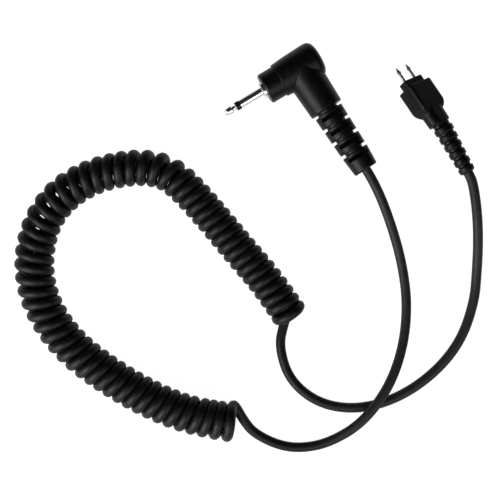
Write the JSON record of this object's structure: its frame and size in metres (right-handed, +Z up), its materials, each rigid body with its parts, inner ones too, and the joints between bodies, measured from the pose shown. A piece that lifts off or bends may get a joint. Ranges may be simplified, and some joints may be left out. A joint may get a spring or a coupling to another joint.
{
  "type": "coiled trigger lead",
  "caption": "Coiled black trigger cord with a right-angled mono jack plug on one end and a small moulded plug with spear-headed contact pins on the other, lying loosely.",
  "frame": {"origin": "on the surface that the lead lies on, under the middle of the box that holds both plugs", "axes": "+Z up, away from the surface; +X along the longer side of the plugs' box, from the jack plug towards the two-pin plug; +Y the way the pins point on the surface, roughly away from the coil"},
  "size_m": [0.1316, 0.1152, 0.0108],
  "materials": {
    "moulded_black": "satin moulded black elastomer over plastic",
    "cord_jacket": "satin black cord jacket",
    "hard_black": "satin hard black plastic insert",
    "nickel": "bright nickel plate",
    "insulator": "black insulating plastic",
    "brass_lug": "bare brass stamping",
    "solder": "dull solder",
    "copper_strand": "bare copper strands",
    "signal_insulation": "off-white wire insulation",
    "ground_insulation": "black wire insulation",
    "clamp_steel": "plated steel band"
  },
  "bodies": {
    "root": {"coiled_section": "cord_jacket", "ground_pin": "nickel", "jack_cord_clamp": "clamp_steel", "jack_cord_end": "cord_jacket", "jack_ground_wire": "ground_insulation", "jack_housing": "moulded_black", "jack_inner_body": "hard_black", "jack_rear_insulator": "insulator", "jack_signal_wire": "signal_insulation", "jack_sleeve_contact": "nickel", "jack_sleeve_lug": "brass_lug", "jack_solder_joints": "solder", "jack_strain_relief": "moulded_black", "jack_tail": "cord_jacket", "jack_tip_contact": "nickel", "jack_tip_insulator": "insulator", "jack_tip_lug": "brass_lug", "jack_wire_strands": "copper_strand", "pin_cord_clamp": "clamp_steel", "pin_cord_end": "cord_jacket", "pin_ground_wire": "ground_insulation", "pin_plug_insert": "hard_black", "pin_plug_shell": "moulded_black", "pin_signal_wire": "signal_insulation", "pin_solder_joints": "solder", "pin_strain_relief": "moulded_black", "pin_tail": "cord_jacket", "pin_wire_strands": "copper_strand", "signal_pin": "nickel"}
  },
  "joints": []
}
